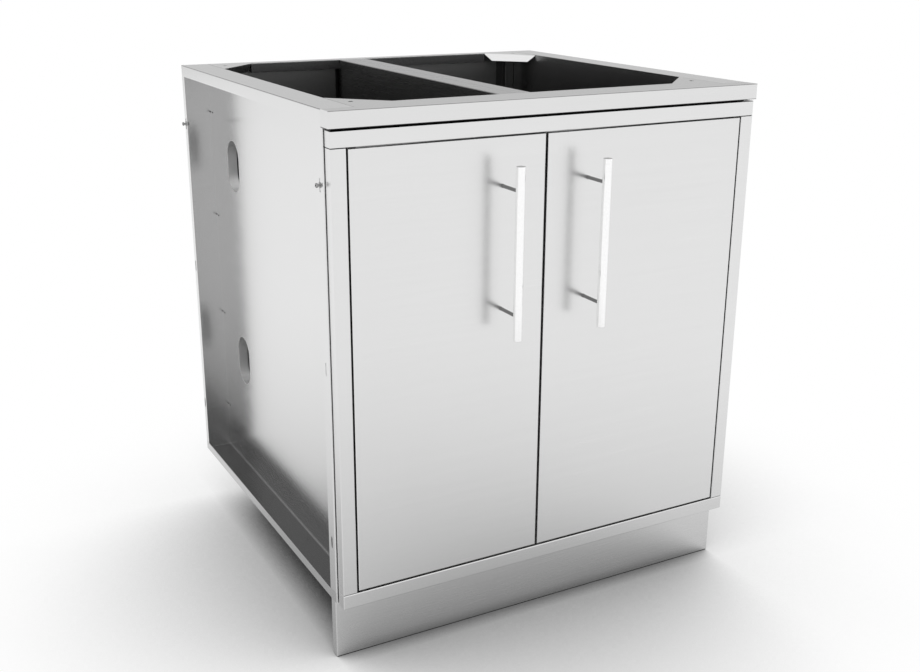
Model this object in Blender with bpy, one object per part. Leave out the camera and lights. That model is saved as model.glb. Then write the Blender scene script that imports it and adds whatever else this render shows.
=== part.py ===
"""Outdoor kitchen cabinet in folded stainless sheet, open on top, with two inset doors.

Each side is a tray folded outwards, so that its recess and its joining lips face the next unit.
Two top rails with corner wings tie the trays together, a hollow partition splits the inside, and
a face frame carries the doors on hidden pivot pins. The cabinet stands on four levelling feet
behind a toe kick.

Plan frame: x is 0 at the cabinet's middle, y is 0 at the front faces of the doors and grows to
the back, z is 0 at the floor. The root empty moves this frame so that the world origin lies under
the middle of the whole object. Lengths are metres.
"""
import math

import bmesh
import bpy
from mathutils import Matrix, Vector

# Overall size
WIDTH = 0.762
HEIGHT = 0.8763
DEPTH = 0.7112
KICK_HEIGHT = 0.1016

# Sheet and fits
SHEET = 0.0012
FOLD_RADIUS = 0.0016
FOLD_STEPS = 3
CONTACT_GAP = 0.0003
CUT_OVERRUN = 0.001

# Top rails
FASCIA_PROUD = 0.0018
FASCIA_HEIGHT = 0.025
FASCIA_RETURN = 0.0272
FRONT_RAIL_DEPTH = 0.0635
BACK_RAIL_DEPTH = 0.0254
BACK_SKIRT = 0.020
RAIL_FLANGE = 0.017
WING_LEG = 0.0762
WING_FLANGE = 0.0144
WING_MITRE = 0.0165
WING_HOLE_RADIUS = 0.004
WING_HOLE_INSET = 0.0195

# Side trays
TRAY_DEPTH = 0.0508
TRAY_FRONT_LIP = 0.0235
TRAY_BACK_LIP = 0.0155
TRAY_TOP_LIP = 0.020
TRAY_BOTTOM_LIP = 0.0165
SLOT_LENGTH = 0.020
SLOT_WIDTH = 0.005
SLOT_HEIGHT_SHARES = (0.235, 0.5625, 0.8775)
OVAL_WIDTH = 0.0635
OVAL_HEIGHT = 0.0955
OVAL_TO_BACK = 0.126
OVAL_HEIGHT_SHARES = (0.371, 0.802)

# Face frame
FRAME_INSET = 0.003
FRAME_DEPTH = 0.020
FRAME_TO_TRAY = 0.0025
FASCIA_GAP = 0.003
RAIL_HEIGHT = 0.024
STILE_WIDTH = 0.024

# Partition, floor and back
PARTITION_OFFSET = -0.0450
PARTITION_THICKNESS = 0.0555
FLOOR_RISE = 0.035
FLOOR_FLANGE = 0.030
BACK_PAN_DEPTH = 0.0149
CHANNEL_WIDTH = 0.023
CHANNEL_DEPTH = 0.008
CHANNEL_SLOPE = 0.003
CHANNEL_TO_SIDE = 0.0313
CHANNEL_TO_PARTITION = 0.0229

# Toe kick
KICK_SETBACK = 0.0304
KICK_RETURN = 0.016
KICK_INSET = 0.0012
KICK_FLOOR_GAP = 0.0005

# Doors
DOOR_THICKNESS = 0.016
DOOR_TOP_REVEAL = 0.002
DOOR_BOTTOM_REVEAL = 0.003
DOOR_SIDE_REVEAL = 0.0025
DOOR_MEETING_REVEAL = 0.004
DOOR_OVERLAP = 0.0197
LINER_DEPTH = 0.012

# Pivot pins and bushes
PIN_RADIUS = 0.0025
PIN_FROM_EDGE = 0.0095
PIN_FROM_FACE = 0.0065
PIN_IN_DOOR = 0.018
PIN_IN_BUSH = 0.008
PIN_SHOULDER_RADIUS = 0.0042
BUSH_WALL = 0.0010
BUSH_COLLAR_RADIUS = 0.0047
BUSH_COLLAR = 0.0012
BUSH_LENGTH = 0.0065

# Handles
BAR_RADIUS = 0.007
BAR_LENGTH = 0.2668
BAR_CHAMFER = 0.0006
BAR_REACH = 0.0505
BAR_FROM_MEETING_EDGE = 0.0748
BAR_TOP_FROM_DOOR_TOP = 0.0360
POST_RADIUS = 0.0043
POST_SPACING = 0.192

# Magnetic catches
CATCH_WIDTH = 0.014
CATCH_DEPTH = 0.018
CATCH_HEIGHT = 0.046
CATCH_BEVEL = 0.001
CATCH_DROP = 0.030
STRIKE_WIDTH = 0.012
STRIKE_HEIGHT = 0.040
STRIKE_THICKNESS = 0.0012

# Joining bolts
BOLT_PROUD = 0.010
BOLT_SHANK_RADIUS = 0.0022
BOLT_HEAD_RADIUS = 0.0044
BOLT_HEAD_LENGTH = 0.0032
BOLT_WASHER_RADIUS = 0.0056
BOLT_WASHER = 0.0014
BOLT_NUT_LENGTH = 0.004

# Legs
LEG_FROM_SIDE = 0.111
LEG_FROM_FRONT = 0.102
LEG_FROM_BACK = 0.109
SOCKET_FLANGE_RADIUS = 0.032
SOCKET_FLANGE = 0.003
SOCKET_RADIUS = 0.018
SOCKET_WALL = 0.0055
SOCKET_LENGTH = 0.095
FOOT_RADIUS = 0.0275
FOOT_HEIGHT = 0.008
FOOT_CHAMFER = 0.0015
FOOT_NECK_RADIUS = 0.010
FOOT_COLLAR_RADIUS = 0.017
FOOT_COLLAR = 0.010
FOOT_STEM_IN_SOCKET = 0.080

# Facets on round pieces
ROUND_STEPS = 20
SMALL_ROUND_STEPS = 12
SMOOTH_ANGLE = math.radians(40)
MERGE = 0.00001

# Planes that several pieces share
HALF_WIDTH = WIDTH / 2
FRONT = -FASCIA_PROUD
BACK = FRONT + DEPTH
BODY_BOTTOM = KICK_HEIGHT + CONTACT_GAP
WEB = HALF_WIDTH - TRAY_DEPTH
TRAY_FRONT = FRAME_DEPTH + FRAME_TO_TRAY
FASCIA_BOTTOM = HEIGHT - FASCIA_HEIGHT
FRONT_RAIL_EDGE = FRONT + FRONT_RAIL_DEPTH
BACK_RAIL_EDGE = BACK - BACK_RAIL_DEPTH
FRAME_HALF = HALF_WIDTH - FRAME_INSET
TOP_RAIL_TOP = FASCIA_BOTTOM - FASCIA_GAP
TOP_RAIL_BOTTOM = TOP_RAIL_TOP - RAIL_HEIGHT
BOTTOM_RAIL_TOP = BODY_BOTTOM + RAIL_HEIGHT
FLOOR_TOP = BODY_BOTTOM + FLOOR_RISE
BACK_REAR = BACK - SHEET - CONTACT_GAP
BACK_FACE = BACK_REAR - BACK_PAN_DEPTH
DOOR_TOP = TOP_RAIL_BOTTOM - DOOR_TOP_REVEAL
DOOR_BOTTOM = BOTTOM_RAIL_TOP + DOOR_BOTTOM_REVEAL
DOOR_EDGE = FRAME_HALF - STILE_WIDTH - DOOR_SIDE_REVEAL
MEETING_LINE = PARTITION_OFFSET + DOOR_OVERLAP
BORE_RADIUS = PIN_RADIUS + CONTACT_GAP
BUSH_RADIUS = BORE_RADIUS + BUSH_WALL
SOCKET_TOP = FLOOR_TOP - SHEET - CONTACT_GAP
SOCKET_BOTTOM = SOCKET_TOP - SOCKET_LENGTH

# The whole object reaches from the bolt heads to the right side, and from the bars to the back
CENTRE = Vector((-BOLT_PROUD / 2, (BACK - BAR_REACH - BAR_RADIUS) / 2, 0))

# Local axes of flat outlines: which way an outline's u, v and its thickness run
LYING = (Vector((1, 0, 0)), Vector((0, 1, 0)), Vector((0, 0, 1)))
FACING_SIDE = (Vector((0, 1, 0)), Vector((0, 0, 1)), Vector((1, 0, 0)))


def clear_scene():
    """Start from an empty scene."""
    for thing in list(bpy.data.objects):
        bpy.data.objects.remove(thing, do_unlink=True)


def material(name, colour, roughness, metallic):
    """Plain surface for one piece."""
    surface = bpy.data.materials.new(name)
    surface.use_nodes = True
    shader = surface.node_tree.nodes["Principled BSDF"]
    shader.inputs["Base Color"].default_value = (*colour, 1)
    shader.inputs["Roughness"].default_value = roughness
    shader.inputs["Metallic"].default_value = metallic
    return surface


def brushed(name):
    """Brushed stainless sheet."""
    return material(name, (0.62, 0.62, 0.61), 0.35, 1.0)


def polished(name):
    """Polished stainless bar."""
    return material(name, (0.80, 0.80, 0.80), 0.12, 1.0)


def zinc(name):
    """Plated steel of fasteners and pins."""
    return material(name, (0.45, 0.45, 0.46), 0.30, 1.0)


def plastic(name):
    """Dark moulded nylon."""
    return material(name, (0.03, 0.03, 0.03), 0.55, 0.0)


def empty(name, place, parent=None):
    """Named point that pieces hang on; place is in the plan frame."""
    point = bpy.data.objects.new(name, None)
    bpy.context.collection.objects.link(point)
    point["plan"] = tuple(place)
    point.parent = parent
    point.location = Vector(place) - Vector(parent["plan"]) if parent else place
    return point


def make_object(name, mesh, surface, origin, parent, smooth):
    """Turn a bmesh in plan coordinates into an object whose origin lies at a plan point."""
    bmesh.ops.translate(mesh, verts=mesh.verts, vec=-Vector(origin))
    bmesh.ops.recalc_face_normals(mesh, faces=mesh.faces)
    data = bpy.data.meshes.new(name)
    mesh.to_mesh(data)
    mesh.free()
    if smooth:
        data.shade_smooth()
        data.set_sharp_from_angle(angle=SMOOTH_ANGLE)
    if surface:
        data.materials.append(surface)
    thing = bpy.data.objects.new(name, data)
    bpy.context.collection.objects.link(thing)
    thing.parent = parent
    thing.location = Vector(origin) - Vector(parent["plan"])
    return thing


def loft(name, rectangle, stations, axis, surface, parent):
    """Closed shell through a row of rectangles, as a folded pan has them.

    Each station is a place along the axis and the inset of its four sides from the rectangle,
    one number for all of them or four: low u, high u, low v, high v.
    """
    low_u, high_u, low_v, high_v = rectangle
    mesh = bmesh.new()
    rings = []
    for place, inset in stations:
        a, b, c, d = inset if isinstance(inset, tuple) else (inset,) * 4
        corners = ((low_u + a, low_v + c), (high_u - b, low_v + c),
                   (high_u - b, high_v - d), (low_u + a, high_v - d))
        rings.append([mesh.verts.new(on_axis(axis, place, u, v)) for u, v in corners])
    mesh.faces.new(rings[0])
    mesh.faces.new(rings[-1])
    for one, two in zip(rings, rings[1:]):
        for k in range(4):
            mesh.faces.new((one[k], one[(k + 1) % 4], two[(k + 1) % 4], two[k]))
    origin = on_axis(axis, stations[0][0], (low_u + high_u) / 2, (low_v + high_v) / 2)
    return make_object(name, mesh, surface, origin, parent, True)


def on_axis(axis, place, u, v):
    """Plan point at a place along X, Y or Z and u, v on the other two axes."""
    return {"X": (place, u, v), "Y": (u, place, v), "Z": (u, v, place)}[axis]


def fold(place, direction):
    """Stations that round the outer edge of a fold, from the face to the side wall."""
    angles = [math.pi / 2 * k / FOLD_STEPS for k in range(FOLD_STEPS + 1)]
    return [(place + direction * FOLD_RADIUS * (1 - math.cos(angle)),
             FOLD_RADIUS * (1 - math.sin(angle))) for angle in angles]


def pan_stations(face, back):
    """Pan with one face and four side walls, open at the back."""
    direction = math.copysign(1, back - face)
    return fold(face, direction) + [(back, 0), (back, SHEET), (face + direction * SHEET, SHEET)]


def prism(name, outline, start, end, axes, surface, parent, origin=(0, 0, 0)):
    """Outline in u, v pushed along its thickness from start to end; origin is a plan point."""
    u_axis, v_axis, w_axis = axes
    base = Vector(origin)
    mesh = bmesh.new()
    near = [mesh.verts.new(base + u * u_axis + v * v_axis + start * w_axis) for u, v in outline]
    face = mesh.faces.new(near)
    pushed = bmesh.ops.extrude_face_region(mesh, geom=[face])["geom"]
    far = [item for item in pushed if isinstance(item, bmesh.types.BMVert)]
    bmesh.ops.translate(mesh, verts=far, vec=(end - start) * w_axis)
    centre = sum((vert.co for vert in mesh.verts), Vector()) / len(mesh.verts)
    return make_object(name, mesh, surface, centre, parent, False)


def block(name, low, high, surface, parent):
    """Plain cuboid between two plan points."""
    outline = ((low[0], low[1]), (high[0], low[1]), (high[0], high[1]), (low[0], high[1]))
    return prism(name, outline, low[2], high[2], LYING, surface, parent)


def turned(name, profile, centre, surface, parent, axis="Z", steps=ROUND_STEPS, ring=False):
    """Solid of revolution from radius, place points about a line along the axis."""
    mesh = bmesh.new()
    points = [mesh.verts.new((radius, 0, place)) for radius, place in profile]
    follow = points[1:] + points[:1] if ring else points[1:]
    edges = [mesh.edges.new(pair) for pair in zip(points, follow)]
    bmesh.ops.spin(mesh, geom=points + edges, cent=(0, 0, 0), axis=(0, 0, 1),
                   angle=2 * math.pi, steps=steps)
    bmesh.ops.remove_doubles(mesh, verts=mesh.verts, dist=MERGE)
    turn = {"X": Matrix.Rotation(math.pi / 2, 4, "Y"),
            "Y": Matrix.Rotation(-math.pi / 2, 4, "X"),
            "Z": Matrix.Identity(4)}[axis]
    bmesh.ops.transform(mesh, matrix=Matrix.Translation(centre) @ turn, verts=mesh.verts)
    return make_object(name, mesh, surface, centre, parent, True)


def rod(name, radius, start, end, centre, parent, axis="Z", steps=SMALL_ROUND_STEPS):
    """Plain cylinder, used as a cutter."""
    profile = ((0, start), (radius, start), (radius, end), (0, end))
    return turned(name, profile, centre, None, parent, axis, steps)


def obround(name, y, z, width, height, start, end, parent):
    """Slot shape with round ends top and bottom, pushed along x."""
    radius = width / 2
    straight = height / 2 - radius
    half_steps = SMALL_ROUND_STEPS // 2
    outline = []
    for side in (1, -1):
        for k in range(half_steps + 1):
            angle = math.pi * k / half_steps
            outline.append((y + side * radius * math.cos(angle),
                            z + side * (straight + radius * math.sin(angle))))
    return prism(name, outline, start, end, FACING_SIDE, None, parent)


def cut(target, cutters):
    """Subtract each cutter and leave it as a hidden guide."""
    for cutter in cutters:
        cutter.hide_render = True
        cutter.display_type = "WIRE"
        modifier = target.modifiers.new(cutter.name, "BOOLEAN")
        modifier.operation = "DIFFERENCE"
        modifier.solver = "EXACT"
        modifier.object = cutter


def both_sides(points):
    """Whole outline from its right half: the half, then its mirror image in reverse."""
    return list(points) + [(-x, y) for x, y in reversed(points)]


def side_tray(name, side, root):
    """Side panel: a web, four flanges folded outwards and a return lip on each of them."""
    lips = (TRAY_FRONT_LIP, TRAY_BACK_LIP, TRAY_BOTTOM_LIP, TRAY_TOP_LIP)
    outer = side * HALF_WIDTH
    stations = [(side * WEB, 0)] + fold(outer, -side)[::-1]
    stations += [(outer, lips), (outer - side * SHEET, lips), (outer - side * SHEET, SHEET),
                 (side * (WEB + SHEET), SHEET)]
    tray = loft(name, (TRAY_FRONT, BACK, BODY_BOTTOM, HEIGHT), stations, "X",
                brushed(name), root)
    cutters = [fascia_notch(name, side, root)]
    for k, share in enumerate(OVAL_HEIGHT_SHARES):
        cutters.append(obround(f"{name}_oval_cut_{k}", BACK - OVAL_TO_BACK, HEIGHT * share,
                               OVAL_WIDTH, OVAL_HEIGHT, side * (WEB - CUT_OVERRUN),
                               side * (WEB + SHEET + CUT_OVERRUN), root))
    for y in slot_lines():
        for k, share in enumerate(SLOT_HEIGHT_SHARES):
            edge = "front" if y < BACK / 2 else "back"
            cutters.append(obround(f"{name}_{edge}_slot_cut_{k}", y, HEIGHT * share, SLOT_WIDTH,
                                   SLOT_LENGTH, outer - side * (SHEET + CUT_OVERRUN),
                                   outer + side * CUT_OVERRUN, root))
    cut(tray, cutters)


def slot_lines():
    """Places in y of the slots in the front and the back lip, midway across each lip."""
    return TRAY_FRONT + TRAY_FRONT_LIP / 2, BACK - TRAY_BACK_LIP / 2


def fascia_notch(name, side, root):
    """The tray's upper front corner makes room for the fascia's side return."""
    reach = side * (HALF_WIDTH + CUT_OVERRUN)
    inner = side * (WEB - CUT_OVERRUN)
    low = (min(reach, inner), TRAY_FRONT - CUT_OVERRUN, FASCIA_BOTTOM - CONTACT_GAP)
    high = (max(reach, inner), FRONT + FASCIA_RETURN + CONTACT_GAP, HEIGHT + CUT_OVERRUN)
    return block(f"{name}_notch_cut", low, high, None, root)


def top_rail(name, outer, inner, half_outline, half_cavity, root):
    """Top rail with a wing in each corner, folded down on its outer and its inner edges.

    The rail starts as a solid cap on its outline. Its underside is cut out to leave the sheet,
    the inner flanges are trimmed to their height, and the wing flanges are mitred.
    """
    into = math.copysign(1, inner - outer)
    edge = WEB - CONTACT_GAP
    wing_tip = WEB - WING_LEG
    half_outline = half_outline + [(edge, inner + into * (WING_LEG - CONTACT_GAP)),
                                   (wing_tip, inner)]
    slant = SHEET * math.sqrt(2)
    half_cavity = half_cavity + [
        (edge + CUT_OVERRUN, inner + into * (WING_LEG - CONTACT_GAP + CUT_OVERRUN - slant)),
        (wing_tip - SHEET + slant, inner - into * SHEET)]
    bottom = FASCIA_BOTTOM if outer < inner else HEIGHT - BACK_SKIRT
    rail = prism(name, both_sides(half_outline), bottom, HEIGHT, LYING, brushed(name), root)
    under = bottom - CUT_OVERRUN
    cutters = [prism(f"{name}_cavity_cut", both_sides(half_cavity), under, HEIGHT - SHEET, LYING,
                     None, root)]
    start = inner - into * (SHEET + CUT_OVERRUN)
    step = inner + into * CONTACT_GAP
    end = inner + into * (WING_LEG + CUT_OVERRUN)
    trim = ((start, under), (start, HEIGHT - RAIL_FLANGE), (step, HEIGHT - RAIL_FLANGE),
            (step, HEIGHT - WING_FLANGE), (end, HEIGHT - WING_FLANGE), (end, under))
    cutters.append(prism(f"{name}_trim_cut", trim, -WEB, WEB, FACING_SIDE, None, root))
    for side in (1, -1):
        cutters += wing_cutters(name, side, inner, into, bottom, root)
    cut(rail, cutters)


def wing_cutters(name, side, inner, into, bottom, root):
    """Mitred ends of one wing's flange and the hole in its plate."""
    tip = Vector((side * (WEB - WING_LEG - CONTACT_GAP), inner - into * CONTACT_GAP,
                  HEIGHT - SHEET - CONTACT_GAP))
    root_end = Vector((side * WEB, inner + into * WING_LEG, HEIGHT - SHEET - CONTACT_GAP))
    along = (root_end - tip).normalized()
    up = Vector((0, 0, 1))
    across = Vector((side, -into, 0)).normalized()
    drop = HEIGHT - SHEET - bottom + CUT_OVERRUN
    reach = WING_MITRE * drop / (WING_FLANGE - SHEET)
    wedge = ((0, 0), (0, -drop), (reach, -drop))
    cutters = []
    for end, way, point in (("tip", along, tip), ("root", -along, root_end)):
        cutters.append(prism(f"{name}_mitre_{end}_cut_{side:+d}", wedge, -CUT_OVERRUN,
                             SHEET + CONTACT_GAP, (way, up, across), None, root, point))
    hole = Vector((side * (WEB - WING_HOLE_INSET), inner + into * WING_HOLE_INSET, 0))
    cutters.append(rod(f"{name}_hole_cut_{side:+d}", WING_HOLE_RADIUS,
                       HEIGHT - SHEET - CUT_OVERRUN, HEIGHT + CUT_OVERRUN, hole, root))
    return cutters


def front_top_rail(root):
    """Front rail: the fascia, its side returns and the two front wings."""
    return_end = FRONT + FASCIA_RETURN
    edge = WEB - CONTACT_GAP
    outline = [(HALF_WIDTH, FRONT), (HALF_WIDTH, return_end), (edge, return_end)]
    cavity = [(HALF_WIDTH - SHEET, FRONT + SHEET), (HALF_WIDTH - SHEET, return_end + CUT_OVERRUN),
              (edge + CUT_OVERRUN, return_end + CUT_OVERRUN)]
    top_rail("top_front_rail", FRONT, FRONT_RAIL_EDGE, outline, cavity, root)


def back_top_rail(root):
    """Back rail, set between the trays, with a skirt over the back panel."""
    edge = WEB - CONTACT_GAP
    top_rail("top_back_rail", BACK, BACK_RAIL_EDGE, [(edge, BACK)],
             [(edge + CUT_OVERRUN, BACK - SHEET)], root)


def sheet_outline(path, thickness):
    """Closed outline of a folded strip: the path, then the path moved to its left by thickness."""
    points = [Vector(point) for point in path]
    normals = []
    for one, two in zip(points, points[1:]):
        run = (two - one).normalized()
        normals.append(Vector((-run.y, run.x)))
    moved = []
    for k, point in enumerate(points):
        before = normals[max(k - 1, 0)]
        after = normals[min(k, len(normals) - 1)]
        middle = (before + after).normalized()
        moved.append(point + middle * thickness / middle.dot(after))
    return [tuple(point) for point in points + moved[::-1]]


def back_panel(root):
    """Back: a sheet with side flanges and vertical channels pressed into it as stiffeners."""
    edge = WEB - CONTACT_GAP
    partition_channel = PARTITION_OFFSET - CHANNEL_TO_PARTITION
    path = [(-edge, BACK_REAR), (-edge, BACK_FACE)]
    mouth = CHANNEL_WIDTH / 2
    bed = mouth - CHANNEL_SLOPE
    for centre in (-(WEB - CHANNEL_TO_SIDE), partition_channel, WEB - CHANNEL_TO_SIDE):
        path += [(centre - mouth, BACK_FACE), (centre - bed, BACK_FACE + CHANNEL_DEPTH),
                 (centre + bed, BACK_FACE + CHANNEL_DEPTH), (centre + mouth, BACK_FACE)]
    path += [(edge, BACK_FACE), (edge, BACK_REAR)]
    prism("back_panel", sheet_outline(path, SHEET), BODY_BOTTOM, HEIGHT - SHEET - CONTACT_GAP,
          LYING, brushed("back_panel"), root)


def floor_panel(root):
    """Floor: a pan turned upside down, its flanges riveted to the trays and the face frame."""
    edge = WEB - CONTACT_GAP
    rectangle = (-edge, edge, FRAME_DEPTH + CONTACT_GAP, BACK_FACE - CONTACT_GAP)
    loft("floor_panel", rectangle, pan_stations(FLOOR_TOP, FLOOR_TOP - FLOOR_FLANGE), "Z",
         brushed("floor_panel"), root)


def partition_skin(name, side, root):
    """One skin of the hollow partition: its flanges meet those of the other skin in the middle."""
    outer = PARTITION_OFFSET + side * PARTITION_THICKNESS / 2
    inner = PARTITION_OFFSET + side * CONTACT_GAP / 2
    rectangle = (FRAME_DEPTH + CONTACT_GAP, BACK_FACE - CONTACT_GAP,
                 FLOOR_TOP + CONTACT_GAP, HEIGHT)
    skin = loft(name, rectangle, pan_stations(outer, inner), "X", brushed(name), root)
    left = min(outer, inner) - CUT_OVERRUN
    right = max(outer, inner) + CUT_OVERRUN
    above = HEIGHT + CUT_OVERRUN
    notches = (("front", FRAME_DEPTH - CUT_OVERRUN, FRONT_RAIL_EDGE + CONTACT_GAP, FASCIA_BOTTOM),
               ("back", BACK_RAIL_EDGE - CONTACT_GAP, BACK_FACE, HEIGHT - RAIL_FLANGE))
    cut(skin, [block(f"{name}_{end}_notch_cut", (left, near, under - CONTACT_GAP),
                     (right, far, above), None, root)
               for end, near, far, under in notches])


def bush_hole(name, side, rail_face, root):
    """Cutter through the flange of a frame rail where a bush sits."""
    reach = SHEET + CUT_OVERRUN
    return rod(name, BUSH_RADIUS + CONTACT_GAP, -reach, reach, pivot_point(side, rail_face), root)


def pivot_point(side, z):
    """Point on the pivot line of the left (-1) or the right (+1) door."""
    return Vector((side * (DOOR_EDGE - PIN_FROM_EDGE), PIN_FROM_FACE, z))


def face_frame(root):
    """Four folded members, open at the back; the rails run the full width."""
    members = (("face_top_rail", -FRAME_HALF, FRAME_HALF, TOP_RAIL_BOTTOM, TOP_RAIL_TOP),
               ("face_bottom_rail", -FRAME_HALF, FRAME_HALF, BODY_BOTTOM, BOTTOM_RAIL_TOP),
               ("face_left_stile", -FRAME_HALF, STILE_WIDTH - FRAME_HALF,
                BOTTOM_RAIL_TOP + CONTACT_GAP, TOP_RAIL_BOTTOM - CONTACT_GAP),
               ("face_right_stile", FRAME_HALF - STILE_WIDTH, FRAME_HALF,
                BOTTOM_RAIL_TOP + CONTACT_GAP, TOP_RAIL_BOTTOM - CONTACT_GAP))
    for name, left, right, low, high in members:
        member = loft(name, (left, right, low, high), pan_stations(0, FRAME_DEPTH), "Y",
                      brushed(name), root)
        if name == "face_top_rail":
            cut(member, [bush_hole(f"{name}_hole_cut_{side:+d}", side, low, root)
                         for side in (-1, 1)])
        if name == "face_bottom_rail":
            cut(member, [bush_hole(f"{name}_hole_cut_{side:+d}", side, high, root)
                         for side in (-1, 1)])


def toe_kick(root):
    """Toe kick: a shallow pan set back under the face frame."""
    half = HALF_WIDTH - KICK_INSET
    loft("toe_kick", (-half, half, KICK_FLOOR_GAP, KICK_HEIGHT),
         pan_stations(KICK_SETBACK, KICK_SETBACK + KICK_RETURN), "Y", brushed("toe_kick"), root)


def pivot_bush(name, side, rail_face, away, root):
    """Nylon bush in a frame rail: a collar on the door's side, the sleeve inside the rail."""
    seat = -away * CONTACT_GAP
    collar = seat - away * BUSH_COLLAR
    end = away * BUSH_LENGTH
    profile = ((BORE_RADIUS, collar), (BUSH_COLLAR_RADIUS, collar), (BUSH_COLLAR_RADIUS, seat),
               (BUSH_RADIUS, seat), (BUSH_RADIUS, end), (BORE_RADIUS, end))
    turned(name, profile, pivot_point(side, rail_face), plastic(name), root,
           steps=SMALL_ROUND_STEPS, ring=True)


def pivot_pin(name, side, door_face, away, shoulder, hinge):
    """Pivot pin fixed in the door; the lower one has a shoulder that carries the weight."""
    reveal = DOOR_TOP_REVEAL if away > 0 else DOOR_BOTTOM_REVEAL
    profile = [(0, -away * PIN_IN_DOOR), (PIN_RADIUS, -away * PIN_IN_DOOR)]
    if shoulder:
        top = away * CONTACT_GAP
        bottom = away * (reveal - BUSH_COLLAR - 2 * CONTACT_GAP)
        profile += [(PIN_RADIUS, top), (PIN_SHOULDER_RADIUS, top),
                    (PIN_SHOULDER_RADIUS, bottom), (PIN_RADIUS, bottom)]
    tip = away * (reveal + PIN_IN_BUSH)
    profile += [(PIN_RADIUS, tip), (0, tip)]
    turned(name, profile, pivot_point(side, door_face), zinc(name), hinge,
           steps=SMALL_ROUND_STEPS)


def door_span(side):
    """Left and right edge of a door in x."""
    if side < 0:
        return -DOOR_EDGE, MEETING_LINE - DOOR_MEETING_REVEAL / 2
    return MEETING_LINE + DOOR_MEETING_REVEAL / 2, DOOR_EDGE


def pin_holes(name, side, hinge):
    """Cutters for both pins through the top and the bottom walls of a door pan."""
    reach = PIN_IN_DOOR / 2
    return [rod(f"{name}_pin_cut_{end}", BORE_RADIUS, -reach, reach, pivot_point(side, z), hinge)
            for end, z in (("top", DOOR_TOP), ("bottom", DOOR_BOTTOM))]


def door(word, side, hinge):
    """Door: a folded front skin, a liner closing its back, two pins, a strike and the handle."""
    left, right = door_span(side)
    name = f"{word}_door_skin"
    skin = loft(name, (left, right, DOOR_BOTTOM, DOOR_TOP), pan_stations(0, DOOR_THICKNESS), "Y",
                brushed(name), hinge)
    cut(skin, pin_holes(name, side, hinge))
    name = f"{word}_door_liner"
    lap = SHEET + CONTACT_GAP
    liner = loft(name, (left + lap, right - lap, DOOR_BOTTOM + lap, DOOR_TOP - lap),
                 pan_stations(DOOR_THICKNESS, DOOR_THICKNESS - LINER_DEPTH), "Y",
                 brushed(name), hinge)
    cut(liner, pin_holes(name, side, hinge))
    pivot_pin(f"{word}_upper_pivot_pin", side, DOOR_TOP, 1, False, hinge)
    pivot_pin(f"{word}_lower_pivot_pin", side, DOOR_BOTTOM, -1, True, hinge)
    strike_plate(word, side, hinge)
    handle(word, side, hinge)


def handle(word, side, hinge):
    """Round bar pull on two posts, their ends coped to the bar."""
    left, right = door_span(side)
    x = right - BAR_FROM_MEETING_EDGE if side < 0 else left + BAR_FROM_MEETING_EDGE
    top = DOOR_TOP - BAR_TOP_FROM_DOOR_TOP
    middle = top - BAR_LENGTH / 2
    half = BAR_LENGTH / 2
    profile = ((0, -half), (BAR_RADIUS - BAR_CHAMFER, -half), (BAR_RADIUS, BAR_CHAMFER - half),
               (BAR_RADIUS, half - BAR_CHAMFER), (BAR_RADIUS - BAR_CHAMFER, half), (0, half))
    name = f"{word}_handle_bar"
    turned(name, profile, (x, -BAR_REACH, middle), polished(name), hinge)
    for place, offset in (("upper", POST_SPACING / 2), ("lower", -POST_SPACING / 2)):
        name = f"{word}_handle_{place}_post"
        centre = (x, 0, middle + offset)
        post = turned(name, ((0, -BAR_REACH), (POST_RADIUS, -BAR_REACH),
                             (POST_RADIUS, -CONTACT_GAP), (0, -CONTACT_GAP)),
                      centre, zinc(name), hinge, "Y", SMALL_ROUND_STEPS)
        cope = rod(f"{name}_cope_cut", BAR_RADIUS + CONTACT_GAP, -2 * POST_RADIUS,
                   2 * POST_RADIUS, (x, -BAR_REACH, middle + offset), hinge, steps=ROUND_STEPS)
        cut(post, [cope])


def catch_centre(side):
    """Middle of a catch: it hangs on its own side of the partition, near the door's top."""
    skin = PARTITION_OFFSET + side * PARTITION_THICKNESS / 2
    x = skin + side * (CONTACT_GAP + CATCH_WIDTH / 2)
    return x, DOOR_TOP - CATCH_DROP


def magnetic_catch(word, side, root):
    """Moulded catch with a magnet, fixed to the partition."""
    x, z = catch_centre(side)
    front = DOOR_THICKNESS + STRIKE_THICKNESS + 2 * CONTACT_GAP
    name = f"{word}_magnetic_catch"
    body = block(name, (x - CATCH_WIDTH / 2, front, z - CATCH_HEIGHT / 2),
                 (x + CATCH_WIDTH / 2, front + CATCH_DEPTH, z + CATCH_HEIGHT / 2),
                 plastic(name), root)
    bevel = body.modifiers.new("soft_edges", "BEVEL")
    bevel.width = CATCH_BEVEL
    bevel.segments = 2


def strike_plate(word, side, hinge):
    """Steel plate on the door's liner that the magnet holds."""
    x, z = catch_centre(side)
    name = f"{word}_strike_plate"
    face = DOOR_THICKNESS + CONTACT_GAP
    block(name, (x - STRIKE_WIDTH / 2, face, z - STRIKE_HEIGHT / 2),
          (x + STRIKE_WIDTH / 2, face + STRIKE_THICKNESS, z + STRIKE_HEIGHT / 2),
          zinc(name), hinge)


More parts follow.
